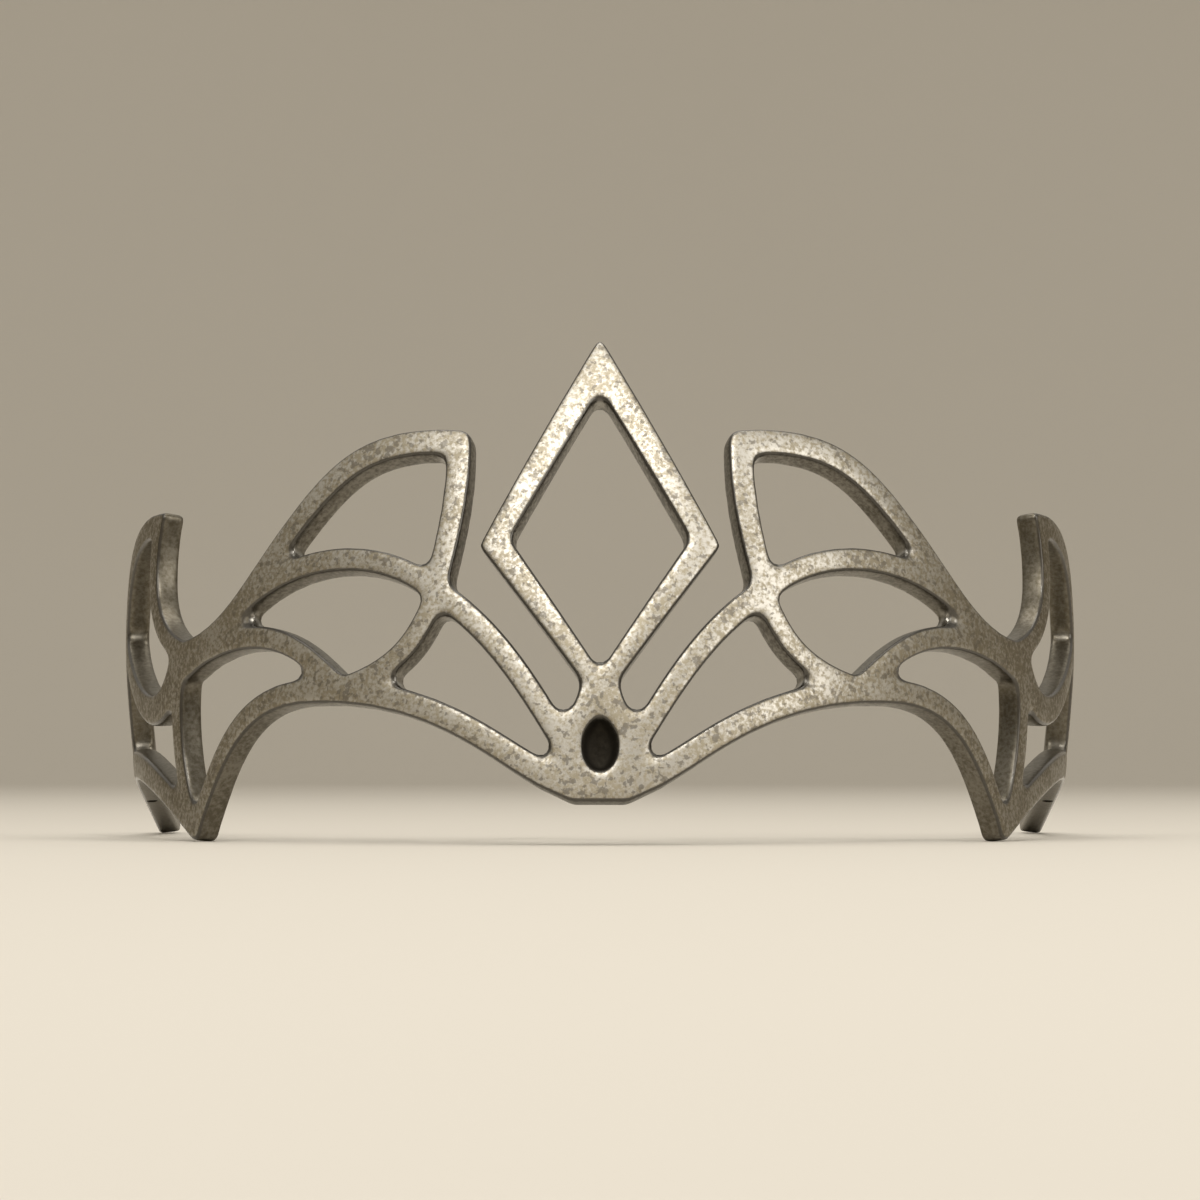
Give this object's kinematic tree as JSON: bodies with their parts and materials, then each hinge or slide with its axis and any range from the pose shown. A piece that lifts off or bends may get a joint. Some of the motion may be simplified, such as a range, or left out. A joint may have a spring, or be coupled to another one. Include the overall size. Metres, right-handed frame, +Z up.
{
  "type": "tiara",
  "caption": "Cast openwork tiara with an open diamond frame over the brow, arched wings, a fin on each side and plain arms that go above the ears.",
  "frame": {"origin": "middle of its box, on the surface that it rests on", "axes": "+X is the wearer's left, +Y the back of the head, +Z up; it rests tipped back about 11 degrees, on its two lower corners and its arm ends"},
  "size_m": [0.1702, 0.1448, 0.0835],
  "materials": {
    "metal": "burnished antique pewter, mottled, dark on its edges and in its recess"
  },
  "bodies": {
    "root": {"tiara": "metal"}
  },
  "joints": []
}
